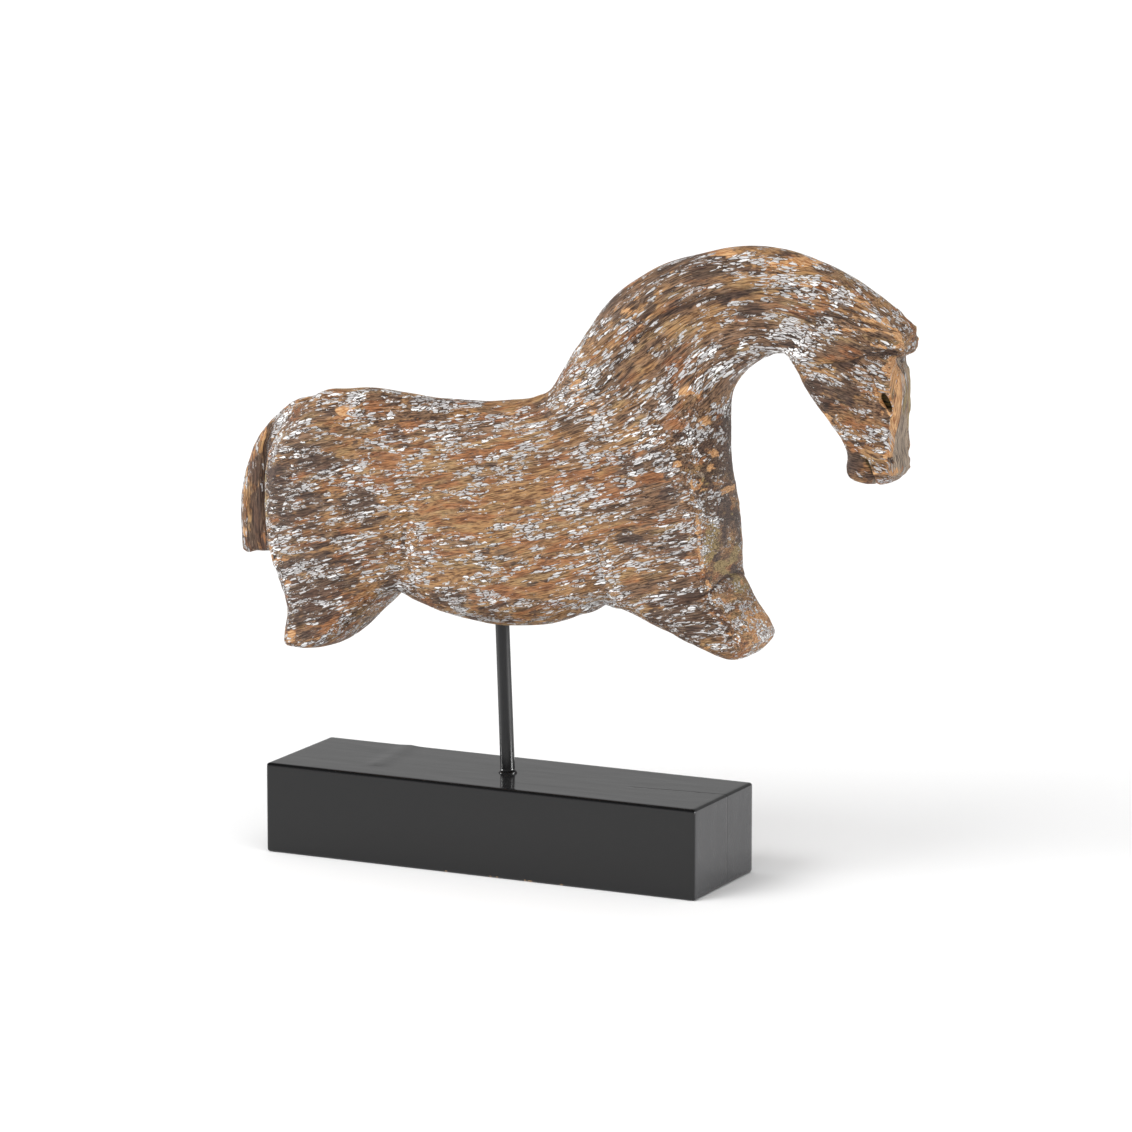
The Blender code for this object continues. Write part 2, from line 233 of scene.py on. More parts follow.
horse = {
    "seat": (-3.13, 131.94),  # that point in the frame
    "sameSpot": 0.001,  # points nearer than this are one
    "voxel": 1.7,
    "smoothing": 8,  # rounds that take the voxels' steps away
    "fitSmoothing": 5,  # and rounds over the way back to the solid's own form
    # along, up, reach: faces half as big on the head and at the tips, half that at the eye and the mouth
    "fineSpots": ((224, 140, 42), (230.4, 141.2, 9), (222.5, 102, 8), (-150, 40, 12), (152, 4, 12)),
    "cutMargin": 3.0,  # and half as big this near to a cut too, if they are still longer than this:
    "longEdge": 1.2,
    "rodRadius": 4.1,
    "rodDepth": 26,
    "sideFacing": (0.1, 0.5),  # how much a place faces sideways where the sides' cuts start, and are full
    "frontFacing": (0.4, 0.75),  # and how much it faces forward on the fronts of the chest and the face,
    "frontFrom": (60, 100),  # which start this far along
    "faceFrom": 180,  # and where the chest's front ends and the face's starts
    "edgeStretch": 0.45,  # the grain looks broader on the narrow edges, where a board shows its flat side,
    "edgeReach": 18,  # this far out from the plank's middle
    "faceStretch": 0.1,  # and runs down the front of the face in long lines
    "faceGrainFrom": (232, 235),  # from here along
    "faceGrainBelow": (168, 164),  # and below the forelock
    "tailBlend": (-0.5, 0.5),  # how sharply the tail's grain starts at its groove
    # where the face's front is rounded, how far back, and from where to where across the plank and along
    "brow": {"up": 151, "reach": 11, "depth": 2.2, "across": (2, 12), "along": (224, 234)},
    "toolMarks": (((17, 9), 0.45), ((22, 2.6), 0.22)),  # facets and furrows: length and width, height
    "grainGrid": {"low": (-200, -60), "high": (290, 260), "step": 2.0},  # where the grain is worked out
    # on the head the paint lies in shorter bits
    "shortGrain": {"middle": (217, 138), "reach": 26, "pace": 0.7},
    "nudgeReach": 3.3,
    "nudgeHold": 0.1,  # what holds the places between the nudges where they are
}

# Which way the wood's grain runs: along, up, degrees from the horizontal, reach
grainRuns = (
    (-128, 60, 8, 9), (-122, 108, 30, 9), (-127, 35, 10, 9), (-126, 84, 10, 8), (-100, 85, 12, 34),
    (-100, 20, 20, 26), (-95, -8, 26, 20), (-50, 30, 16, 22), (-40, 90, 14, 40), (0, 60, 15, 40),
    (0, 12, 6, 24), (-30, 14, -6, 20), (35, 14, 18, 20), (50, 100, 17, 26), (85, 75, 16, 30),
    (95, 30, 16, 26), (130, 15, 2, 20), (150, 5, -14, 18), (128, 70, 30, 16), (125, 105, 40, 16),
    (48, 134, 52, 14), (62, 158, 52, 14), (90, 135, 36, 20), (85, 160, 50, 18), (100, 185, 40, 18),
    (120, 160, 38, 20), (122, 198, 20, 18), (150, 205, 4, 18), (150, 180, 6, 20), (178, 200, -12, 16),
    (180, 178, -18, 16), (205, 196, -30, 14), (230, 184, -36, 12), (134, 130, 78, 14), (142, 152, 48, 12),
    (160, 162, 4, 12), (174, 172, -18, 10), (186, 160, 50, 8), (202, 177, -8, 9), (206, 158, 0, 9),
    (204, 143, -4, 12), (218, 150, -8, 10), (230, 154, -12, 10), (222, 134, -6, 10), (234, 130, -14, 10),
    (208, 125, -2, 10), (216, 108, 0, 10), (230, 108, -6, 10),
)


def grainDirection(places):
    runs = np.array(grainRuns, float)
    away = ((places[:, None, :] - runs[None, :, :2]) ** 2).sum(2)
    weight = np.exp(-away / (2 * runs[:, 3] ** 2)) + 1e-7  # so that a place far from them all has one too
    angle = np.radians(runs[:, 2])
    direction = weight @ np.stack([np.cos(angle), np.sin(angle)], 1)
    return direction / np.linalg.norm(direction, axis=1)[:, None]


def heightsFromSlopes(slopeAlong, slopeUp, step):  # the surface whose slopes come nearest to these
    count, rows = slopeAlong.shape
    spread = np.zeros((count, rows))
    middle = (slopeAlong[1:] + slopeAlong[:-1]) / 2
    spread[:-1] -= middle
    spread[1:] += middle
    middle = (slopeUp[:, 1:] + slopeUp[:, :-1]) / 2
    spread[:, :-1] -= middle
    spread[:, 1:] += middle
    # mirrored, so that opposite edges needn't meet
    mirrored = np.block([[spread, spread[:, ::-1]], [spread[::-1], spread[::-1, ::-1]]])
    waveAlong, waveUp = (2 - 2 * np.cos(np.pi * np.arange(2 * n) / n) for n in (count, rows))
    waves = waveAlong[:, None] + waveUp[None, :]
    waves[0, 0] = 1
    return np.fft.ifft2(np.fft.fft2(mirrored) / waves).real[:count, :rows] * step


def grainMap():  # two numbers for each place of the pattern: how far along the grain, and across it
    grid, short = horse["grainGrid"], horse["shortGrain"]
    low, high, step = np.array(grid["low"], float), np.array(grid["high"], float), grid["step"]
    along, up = (np.arange(low[i], high[i] + step, step) for i in (0, 1))
    places = np.stack(np.meshgrid(along, up, indexing="ij"), -1)
    direction = grainDirection(places.reshape(-1, 2)).reshape(*places.shape)
    away = ((places - np.array(short["middle"])) ** 2).sum(-1)
    pace = 1 + short["pace"] * np.exp(-away / (2 * short["reach"] ** 2))
    forward = heightsFromSlopes(direction[..., 0] * pace, direction[..., 1] * pace, step)
    sideward = heightsFromSlopes(-direction[..., 1], direction[..., 0], step)
    values = np.stack([forward, sideward], -1)

    def lookUp(points):
        spot = np.clip((points - low) / step, 0, np.array(values.shape[:2]) - 1.001)  # leaves a next cell
        cell = spot.astype(int)
        u, v = (spot - cell).T[..., None]
        i, j = cell.T
        below = values[i, j] * (1 - u) + values[i + 1, j] * u
        above = values[i, j + 1] * (1 - u) + values[i + 1, j + 1] * u
        return below * (1 - v) + above * v

    return lookUp


# The rump's edge beside the tail, and the face's beside the eye
rumpEdge = (
    (-117, 118), (-125.5, 107), (-132, 91), (-134, 77), (-134.2, 62), (-132.7, 50), (-129.8, 38),
    (-127.5, 26),
)
faceEdge = (
    (233.5, 162), (234.9, 156), (236.1, 150), (237.2, 145), (237.3, 140), (236.2, 134), (235, 126),
    (234, 119.5), (232.5, 113.5),
)

# What the knife cut after the outline: path, depth in millimetres (less than 0 stands proud), half width.
# These show on the two sides alone, the next ones on the plank's narrow edge, and the last run round both;
# those also say how much painted shade lies inside them.
sideCuts = (
    (((-44.6, 64), (-47.7, 52.5), (-49.5, 44), (-49, 36), (-43.5, 28), (-42.3, 18)), 1.1, 2.2),
    (((-86, 46), (-71, 53), (-54, 63), (-40, 72)), 0.5, 3),
    (((69, 54), (70, 43), (72.6, 33), (75.6, 22)), 1.1, 2.4),
    (((96, 122.7), (106.6, 112.8), (114.8, 104.9), (121, 96)), -0.8, 2.2),
    (((121, 96), (126, 84), (127.2, 75), (128, 62), (130, 50), (133, 36)), -0.6, 2),
    (((-54, 23.5), (-64.6, 16.7), (-79.1, 2.4), (-95.6, -15.1)), -0.9, 1.4),
    (((61, 130), (75.5, 147), (92, 167), (103.6, 178.6), (127, 189), (161.5, 197), (193, 197.5),
      (207, 190.8), (222, 186.2)), 0.8, 1.2),
    (((181, 167), (186.5, 175.5), (201, 183.4), (212, 186.4)), 0.7, 1.1),
    (rumpEdge, -1.3, 2),
    (((-127, 118), (-136.5, 103), (-140.8, 89), (-142, 59), (-140.5, 40)), 1.4, 1.9),
    (((196, 158.5), (205, 160.3), (213.6, 161), (217, 163.6), (222.8, 165.8), (229.8, 166.8),
      (235.4, 167.2)), 1.4, 1.4),
    (((205, 178.2), (214.5, 179.6), (223.1, 179.6), (230.4, 178.9), (236.5, 177.4), (239.2, 175.6)),
     -1.3, 1),
    (((224, 171.8), (230, 170.4), (236, 171.2), (239, 172.6)), -1, 0.9),
    (((219, 175), (225, 175.6), (231, 175), (236, 174)), 1, 1.5),
    (faceEdge, -1.3, 1.1),
    (((205.5, 123), (208, 122.4), (211.5, 121.9), (216.8, 120.9)), -1, 1),
    (((216.8, 120.9), (222, 121)), -0.5, 1.2),
    (((204.5, 121.2), (211.5, 119.2), (218, 118.2)), 1, 1.3),
    (((193.8, 137.8), (197.5, 134.4), (201.2, 130), (204.4, 125.8)), 1, 1.1),
    (((225, 103.4), (228.8, 104.9), (233.3, 103.7)), -1.1, 1),
    (((224, 107.2), (228, 108.4), (231, 108)), 0.9, 1),
    (((232.6, 111.4), (234.3, 110.2)), 2.2, 1),
    (((213, 150), (220, 146), (224, 138)), 0.8, 4),
)
edgeCuts = (
    (((-126, 113), (-117.8, 117.5), (-104.7, 122)), -1.3, 6),
    (((25.6, 129.5), (31.9, 136.6), (38.2, 145.6), (45.5, 156.5)), -0.9, 5),
    (((58, 12), (66, 15.5), (72, 18)), -2, 5),
    (((-65.6, 3.5), (-59.1, 9.9), (-53.7, 14.8)), 0.7, 3),
    (((172.1, 163), (175.6, 159.5), (178.8, 155.5)), 0.9, 3),
    (((158, 158.5), (165, 162), (170, 163.2)), -0.9, 3),
    (((61, 177.5), (69.4, 186.5), (77.7, 193.7)), -0.5, 6),
    (((-128, 30), (-125, 19), (-120, 10)), -0.8, 4),
)
throughCuts = (
    (((219.9, 109.3), (221.6, 105.3), (222.6, 102.3), (223.2, 99.3), (222.7, 93)), 2.2, 1.1, 1),
    (((222.8, 100), (222.9, 94)), 1.8, 2, 0.7),
    (((139.5, 43), (137.9, 40), (135.5, 34.8), (127.6, 29.5), (120.9, 27.4), (110.5, 24.1)), 1.3, 0.6, 0.3),
)

# Small moves that bring the outline to the carving's own: along, up, how far along, how far up
nudges = (
    (242.2, 179, -4, 3.2), (241.8, 176.5, -1, 0), (241.3, 174, -3, -4), (237, 169.5, -1, -0.8),
    (233.2, 165, -1, 1.5), (236, 187, -1.7, -1.5), (228, 192.5, -0.9, -0.9), (231, 177, 0, 0),
    (224, 184, 0, 0), (227, 166, 0, 0), (235.5, 160, 0.8, 0), (235.8, 156, 0.9, 0), (236.5, 151, 0.2, 0),
    (237.2, 146, -0.7, 0), (237.4, 141, -1.3, 0), (237, 136, -1.3, 0), (236.2, 131, -0.9, 0),
    (235.8, 126, -0.9, 0), (235.6, 121, -0.9, 0), (235.4, 116, -0.7, 0), (236, 110, -0.3, 0),
    (236.5, 105, -0.2, -0.7), (228, 152, 0, 0), (229.5, 141, 0, 0), (228, 128, 0, 0), (227, 98.3, 0, -1.3),
    (219, 98, 0.2, -0.2), (210, 101, -0.2, 0.7), (215, 98.2, 0, 0.8), (221, 104, 0, 0), (229, 108, 0, 0),
    (-112, 120, 0, 1), (-117.5, 118, 0, 1),
)

# The groove between the rump and the tail, whose grain runs down beside it: up, along
tailGroove = ((30, -139.5), (40, -140.5), (59, -142), (89, -140.8), (103, -136.5), (118, -127))

# How far from the middle of the plank the face's flat front ends on the right side, at each height.
# Between there and the eye the wood is bare.
faceRidge = (
    (111, 12.9), (115, 12), (119, 10.1), (126, 7.8), (129, 5.5), (134, 4.5), (142, 3.9), (149, 1.3),
    (153, 0.4), (157, 2.4), (163, 6.2), (168, 9),
)

# The eye, an almond cut in deep with a raised rim. Its length and width are halves, and the places of its
# wall and rim are shares of them.
eye = {
    "centre": (230.6, 141.1),
    "tilt": -63,
    "length": 6.3,
    "width": 1.9,
    "lean": 0.25,  # how much fuller its upper half is
    "point": 0.4,  # how much its corners are drawn in
    "depth": 2.6,
    "wall": (0.55, 1.05),
    "rim": 0.7,
    "rimAt": 1.5,
    "rimWidth": 0.35,
}


def awayFromPath(places, path):
    knots = np.array(path, float)
    start, run = knots[:-1], np.diff(knots, axis=0)
    offset = places[:, None, :] - start[None]
    share = np.clip((offset * run).sum(2) / (run**2).sum(1), 0, 1)
    return np.sqrt(((offset - share[..., None] * run) ** 2).sum(2).min(1))


def knifeWork(places, cuts):  # how far each place stands out after the cuts, in millimetres
    height = np.zeros(len(places))
    for path, depth, reach, *_ in cuts:
        height -= depth * bell(awayFromPath(places, path), 0, reach)
    return height


def almondReach(places):  # 0 in the middle of the eye, 1 at its edge
    tilt = math.radians(eye["tilt"])
    offset = places - np.array(eye["centre"])
    along = (offset[:, 0] * math.cos(tilt) + offset[:, 1] * math.sin(tilt)) / eye["length"]
    across = (-offset[:, 0] * math.sin(tilt) + offset[:, 1] * math.cos(tilt)) / eye["width"]
    return np.sqrt(along**2 + (across * (1 + eye["lean"] * along)) ** 2 + np.abs(along) ** 3 * eye["point"])


def nudged(places):
    spots = np.array(nudges, float)
    away = ((places[:, None, :] - spots[None, :, :2]) ** 2).sum(2)
    weight = np.exp(-away / (2 * horse["nudgeReach"] ** 2))
    return weight @ spots[:, 2:] / (weight.sum(1) + horse["nudgeHold"])[:, None]


def averaged(values, edges, rounds):  # each value drawn halfway to the mean of its neighbours
    first, second = edges.T
    count = len(values)
    neighbours = np.bincount(edges.reshape(-1), minlength=count)[:, None]
    for _ in range(rounds):
        total = np.stack([
            np.bincount(first, column[second], count) + np.bincount(second, column[first], count)
            for column in values.T
        ], 1)
        values = (values + total / neighbours) / 2
    return values


def patternPlaces(points):
    return points[:, ::2] / mm - horse["seat"]


def frontShare(normals, places):  # 1 on the narrow fronts of the chest and the face, 0 on the sides
    return smoothStep(normals[:, 0], *horse["frontFacing"]) * smoothStep(places[:, 0], *horse["frontFrom"])


def roundedBrow(points, places):  # how far back the corners of the face's front are cut
    brow = horse["brow"]
    inner, outer = brow["across"]
    corner = np.clip((np.abs(points[:, 1]) / mm - inner) / (outer - inner), 0, 1) ** 2
    level = bell(places[:, 1], brow["up"], brow["reach"])
    return brow["depth"] * mm * corner * level * smoothStep(places[:, 0], *brow["along"])


def refined(mesh):
    solid = solidOf(mesh)
    seat = Vector(horse["seat"])
    for along, up, reach in horse["fineSpots"]:
        near = []
        for edge in solid.edges:
            middle = (edge.verts[0].co + edge.verts[1].co) / 2
            if (middle.xz / mm - seat - Vector((along, up))).length < reach:
                near.append(edge)
        bmesh.ops.subdivide_edges(solid, edges=near, cuts=1, use_grid_fill=True)
    for cuts, longest in ((sideCuts, horse["longEdge"]), (throughCuts, horse["longEdge"] / 2)):
        solid.edges.ensure_lookup_table()
        middles = np.array([(edge.verts[0].co + edge.verts[1].co) / 2 for edge in solid.edges])
        away = np.min([awayFromPath(patternPlaces(middles), path) for path, *_ in cuts], 0)
        close = np.flatnonzero(away < horse["cutMargin"])
        near = [solid.edges[i] for i in close if solid.edges[i].calc_length() > longest * mm]
        bmesh.ops.subdivide_edges(solid, edges=near, cuts=1, use_grid_fill=True)
    bmesh.ops.triangulate(solid, faces=[f for f in solid.faces if len(f.verts) > 4])
    return meshOf(solid, "horse")


def clearOfRod(points):  # keeps the drilled hole as wide as it is in the frame
    foot = Vector((0, 0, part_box("base")[1].z))
    seat = Vector((horse["seat"][0] * mm, 0, horse["seat"][1] * mm))
    axis = np.array((seat - foot).normalized())
    offset = points - np.array(seat)
    along = offset @ axis
    radial = offset - along[:, None] * axis
    distance = np.linalg.norm(radial, axis=1)
    inside = (np.abs(along) < horse["rodDepth"] * mm) & (distance < horse["rodRadius"] * mm)
    inside &= distance > 1e-5  # a place on the axis itself has no way out
    wanted = radial[inside] / distance[inside, None] * horse["rodRadius"] * mm
    points[inside] += wanted - radial[inside]


def handWork(grain):  # the uneven surface that a gouge and a rasp leave, in millimetres
    total = np.zeros(len(grain))
    for (length, width), height in horse["toolMarks"]:
        total += height * np.array([noise.noise(Vector(spot)) for spot in grain / (length, width, width)])
    return total


def horseSkin():  # an even mesh on the solid's own form, with the outline's small moves
    solid = solidOf(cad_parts["horse"].data)
    bmesh.ops.remove_doubles(solid, verts=solid.verts, dist=horse["sameSpot"] * mm)
    tree = BVHTree.FromBMesh(solid)
    voxels = {"mode": "VOXEL", "voxel_size": horse["voxel"] * mm}
    mesh = refined(modified(meshOf(solid, "horse"), "REMESH", voxels))
    edges = readMesh(mesh.edges, "vertices", 2, np.int32)
    points = averaged(readMesh(mesh.vertices, "co"), edges, horse["smoothing"])
    back = np.array([tree.find_nearest(Vector(p))[0] for p in points]) - points
    points += averaged(back, edges, horse["fitSmoothing"])
    points[:, ::2] += nudged(patternPlaces(points)) * mm
    points[:, 0] -= roundedBrow(points, patternPlaces(points))
    writeVertices(mesh, points)
    return mesh, edges, points


def grainOf(points, places, normals):  # how far each place is along the grain, across it and into the plank
    face = frontShare(normals, places) * smoothStep(places[:, 0], *horse["faceGrainFrom"])
    face *= smoothStep(places[:, 1], *horse["faceGrainBelow"])
    across = points[:, 1] / mm
    edge = np.clip(across, -horse["edgeReach"], horse["edgeReach"])
    across -= (1 - horse["edgeStretch"]) * (1 - face) * edge
    forward, sideward = grainMap()(places).T
    sideward -= (1 - horse["faceStretch"]) * face * (sideward - sideward[face > 0.5].mean())
    groove = np.interp(places[:, 1], *zip(*tailGroove))
    tail = smoothStep(groove - places[:, 0], *horse["tailBlend"])
    forward += tail * (places[:, 1] - forward)
    sideward += tail * (places[:, 0] - groove - sideward)
    return np.stack([forward, sideward, across], 1)


def carved(points, places, normals, grain):
    sideways = smoothStep(np.abs(normals[:, 1]), *horse["sideFacing"])
    fromEye = almondReach(places)
    height = knifeWork(places, sideCuts)
    height += eye["rim"] * bell(fromEye, eye["rimAt"], eye["rimWidth"])
    height -= eye["depth"] * (1 - smoothStep(fromEye, *eye["wall"]))
    height = height * sideways + knifeWork(places, edgeCuts) * (1 - sideways)
    height += knifeWork(places, throughCuts)
    points = points + normals * ((height + handWork(grain)) * mm)[:, None]
    points = np.clip(points, *(np.array(corner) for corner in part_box("horse")))
    clearOfRod(points)
    return points


def sculptHorse():
    mesh, edges, points = horseSkin()
    normals = readMesh(mesh.vertices, "normal")
    places = patternPlaces(points)
    grain = grainOf(points, places, normals)
    points = carved(points, places, normals, grain)
    writeVertices(mesh, points)
    return mesh, points, places, grain, edges


# Soft patches of colour on the carving's sides: along, up, half length, half height, strength
sidePatches = {
    # among the dark patches, those at the tail's groove (-145, 62) and in the mouth's notch (222.6, 99) are
    # painted shade
    "dark": (
        (-102, 88, 13, 6, 0.9), (-124, 71, 8, 13, 0.8), (-71, 68, 9, 7, 0.7), (-69, 60, 12, 5, 0.7),
        (-109, 14, 8, 6, 0.9), (-120, 23, 7, 4, 0.8), (-117, -3, 4, 8, 0.7), (-88, 23, 11, 9, 0.5),
        (-52, 20, 10, 5, 1), (-21, 18, 12, 5, 0.8), (-33, 120, 18, 8, 0.6), (-59, 107, 11, 5, 0.7),
        (90, 95, 8, 7, 1.1), (88, 59, 7, 6, 0.9), (116, 58, 8, 9, 0.9), (122, 116.5, 10, 3.5, 1),
        (123, 30, 12, 4, 0.8), (110, 15, 9, 5, 0.7), (107, 104.6, 9, 4, 0.9), (111, 86, 7, 4, 0.7),
        (111, 138, 7, 6, 0.6), (181, 170, 7, 5, 1.1), (154, 186, 9, 4, 0.9), (197, 185, 9, 3, 0.8),
        (191, 149, 8, 5, 0.9), (211, 149, 8, 6, 0.5), (239, 184, 4, 4, 0.9), (110, 203, 20, 5, 0.5),
        (-145, 62, 8, 40, 1), (230, 168, 8, 2.5, 0.8), (-123, 69, 5, 7, 1), (-105, 45, 30, 60, 0.45),
        (-98, 2, 22, 14, 0.5), (124, 16, 24, 14, 0.95), (0, 12, 44, 7, 0.45), (205, 146, 16, 18, 0.5),
        (135, 209, 16, 4, 0.7), (90, 180, 24, 8, 0.8), (150, 206, 50, 10, 0.45), (222.6, 99, 1.6, 6, 1.2),
        (212, 110, 10, 9, 0.8),
    ),
    "tan": (
        (-84.5, 114.5, 5, 2.2, 2.4), (-119, 17, 4, 2, 0.8), (-122, 31, 5, 3, 0.7), (-155, 40, 3, 3, 0.8),
        (-143, 95, 2, 5, 0.7), (-117, -12, 3, 3, 0.8), (120, 140, 9, 3, 0.7), (118, 102, 4, 2, 0.9),
        (57, 138, 8, 4, 0.6), (96, 103.6, 4, 2, 0.7), (69, 125, 8, 2, 0.8), (62, 131, 8, 2, 0.7),
        (227, 194, 8, 3, 0.7), (180, 211, 22, 2, 1), (135, 214, 16, 2, 0.8), (89, 181, 6, 2, 0.7),
        (199, 131, 3, 4, 0.7), (152, 12, 5, 6, 0.5), (30, 10, 16, 4, 0.4), (-30, 30, 14, 5, 0.4),
    ),
    "ochre": (
        (112.7, 86, 7, 4, 0.5), (124, 66, 4, 10, 0.7), (-133.5, 60, 2, 34, 1.1), (-60, 40, 10, 5, 0.3),
    ),
    "warm": (
        (0, 60, 60, 34, 0.9), (-10, 90, 30, 14, 0.7), (150, 205, 30, 8, 0.7), (60, 45, 30, 12, 0.4),
        (-95, 8, 26, 16, 1.2), (30, 110, 20, 10, 0.6), (212, 196, 16, 8, 0.6), (118, 14, 30, 14, 0.8),
        (-146, 60, 9, 44, 0.8), (0, 12, 44, 9, 0.6), (-95, 80, 26, 34, 0.5), (216, 116, 14, 16, 0.5),
    ),
    "white": (
        (-129, 100, 6, 12, 1.2), (-126, 76, 5, 11, -1.4), (-116, 88, 8, 14, 0.6), (-80, 122, 30, 5, 0.8),
        (-40, 108, 20, 8, 0.5), (58, 142, 12, 14, 0.9), (140, 150, 14, 14, 1), (175, 163, 14, 6, 0.9),
        (190, 168, 10, 8, 0.8), (100, 116, 12, 8, 0.8), (158, 10, 9, 10, 0.9), (120, 12, 20, 10, -0.3),
        (-48, 46, 8, 20, 0.8), (-95, 8, 20, 10, -0.2), (72, 30, 8, 18, 0.7), (200, 200, 22, 8, 0.5),
        (-128, 40, 6, 24, 0.6), (100, 188, 38, 14, -0.8), (121, 116, 3, 8, 0.7), (150, 206, 50, 10, -0.4),
        (214, 122, 14, 2, 0.8), (60, 12, 30, 8, 0.2), (-148, 60, 7, 40, -1.8), (206, 146, 16, 22, -0.7),
        (216, 108, 9, 8, -0.4), (222.6, 99, 2, 6, -1.2), (229, 106, 6, 6, -0.6), (-20, 62, 14, 5, -1),
        (-40, 78, 16, 4, -1), (20, 46, 16, 5, -0.9), (40, 80, 16, 4, -0.9), (-75, 96, 12, 5, -0.9),
        (150, 188, 14, 5, -0.8), (95, 150, 10, 7, -0.8),
    ),
}

# The same on the narrow fronts of the chest and the face, with how far across the plank in place of along
chestPatches = {
    "dark": (
        (-8, 116.5, 16, 3.5, 1), (-2, 108, 8, 5, 0.8), (-12, 80, 7, 6, 0.9), (-3, 77, 4, 8, 0.9),
        (-8, 63, 3, 7, 1.1), (10, 65, 5, 12, 1), (-17, 50, 4, 5, 0.9), (-20, 84, 5, 8, 0.9),
        (0, 42, 6, 6, 0.8), (4, 128, 16, 5, 0.6), (4, 98, 14, 5, 0.6), (0, 104, 26, 26, 0.7),
    ),
    "tan": (
        (-16, 123.4, 6, 2, 0.9), (-17, 119.4, 5, 1.2, 0.9), (-11, 106.3, 4, 2.5, 0.9),
        (0, 85.5, 10, 1.6, 1.1), (-22, 91, 4, 4, 0.9), (-14, 99, 3, 2, 0.8), (-26, 70, 3, 5, 0.9),
        (-27, 59, 3, 7, 1), (-26, 50, 3, 6, 0.9), (-24, 38, 4, 4, 0.8), (-16, 29, 6, 2, 0.7),
        (8, 34, 5, 2, 0.6), (2, 13, 18, 12, 1.1),
    ),
    "ochre": (
        (-18, 67, 5, 4, 1.2), (-19, 59, 6, 6, 1.2), (3, 51, 8, 6, 1.2), (-24, 53, 4, 5, 1.1),
        (-14, 45, 7, 5, 1.2), (0, 36, 8, 5, 1.1), (-18, 90, 5, 4, 1.1), (-8, 74, 12, 8, 0.6),
        (4, 30, 14, 8, 0.7),
    ),
    "warm": ((0, 14, 22, 14, 1), (0, 80, 26, 40, 0.5)),
    "white": (
        (-19, 106, 5, 8, 0.9), (-5, 90, 4, 3, 1.8), (-16, 71.5, 5, 4, 2), (-4, 61, 2, 8, 1.8),
        (-2, 131, 6, 3, 0.8), (-20, 118, 3, 6, 0.7), (-4, 58, 20, 34, -1.6), (0, 12, 20, 13, 1),
        (-24, 54, 3, 26, 1.4), (0, 100, 20, 20, -0.8),
    ),
}
facePatches = {
    "dark": ((0, 142, 18, 15, -1), (-3, 116, 8, 10, 0.8), (-2, 162, 8, 5, 0.8)),
    "tan": (
        (-13.5, 152, 3.5, 8, 1.1), (-12, 140, 3.5, 9, 1.2), (-12.5, 127, 3, 9, 1.1), (-14, 115, 2.5, 6, 1),
        (-10, 104, 8, 2.5, 0.8),
    ),
    "ochre": ((9, 140, 4, 24, 0.9), (0, 143, 8, 12, 0.7)),
    "white": ((0, 130, 16, 26, -2),),
}

# Edges that hands and sanding wore down to light wood: path, half width, strength
wornEdges = (
    (rumpEdge, 1.6, 0.8),
    (faceEdge, 2.2, 1.6),
    (((205, 178.6), (223, 179.8), (234.5, 177.8), (238.4, 174)), 1.2, 1.2),
    (((224, 171.8), (230, 170.4), (236, 171.2), (239, 172.6)), 1, 1),
    (((196, 160), (205, 161.8), (213.6, 162.6), (222.8, 167.3), (229.8, 168.2), (235.4, 168.6)), 0.9, 0.8),
    (((225.5, 103), (230, 104), (235, 102.5)), 1.5, 0.9),
    (((231.5, 132), (229.5, 124), (228.5, 116), (230, 111)), 2.2, 0.8),
)


# How wear and paint follow the form, and where painted shade darkens the hollows
wear = {
    "smoothing": 14,  # rounds after which what still stands proud counts as worn
    "proud": 0.7,  # fully so, at 1, from this many millimetres
    "most": 2,  # as worn as a place can be for the tan wood
    "bare": 1.2,  # how worn the wood between the face's ridge and the eye is
    "ridgeBlend": (-0.6, 0.6),
    "outer": (9.5, 12.5),  # on the fronts, how far from the plank's middle a worn edge starts, and is full
    "ring": 1.5,  # the light wood round the eye: how worn, where, and how wide
    "ringAt": 1.35,
    "ringWidth": 0.3,
    "forelock": (163, 169),  # up: between these the face's front ends
    "dark": 1.5,  # painted shade: what the hollows add to the dark wood,
    "tan": 0.45,  # the worn places to the tan wood
    "white": 0.3,  # and to the paint (more and whiter flakes there, partly a painted highlight on the proud edges),
    "bareWhite": 1.3,  # which the bare wood has none of
    "front": (0.5, 1.25, -0.85),  # how much the chest, the face and the forelock are grey like a front
    # painted shade inside the eye: where it starts to fade, and where it is gone
    "eyeDeep": (0.85, 1.05),
    "patchRange": (-2, 1.2),
}


def patches(places, spots):
    if not spots:
        return np.zeros(len(places))
    spots = np.array(spots, float)
    away = (places[:, None, 0] - spots[:, 0]) ** 2 / spots[:, 2] ** 2
    away += (places[:, None, 1] - spots[:, 1]) ** 2 / spots[:, 3] ** 2
    return np.clip((np.exp(-away) * spots[:, 4]).sum(1), *wear["patchRange"])


def addField(mesh, name, values):
    kind, part = ("FLOAT", "value") if values.ndim == 1 else ("FLOAT_VECTOR", "vector")
    field = mesh.attributes.new(name, kind, "POINT")
    field.data.foreach_set(part, values.astype(np.float32).reshape(-1))


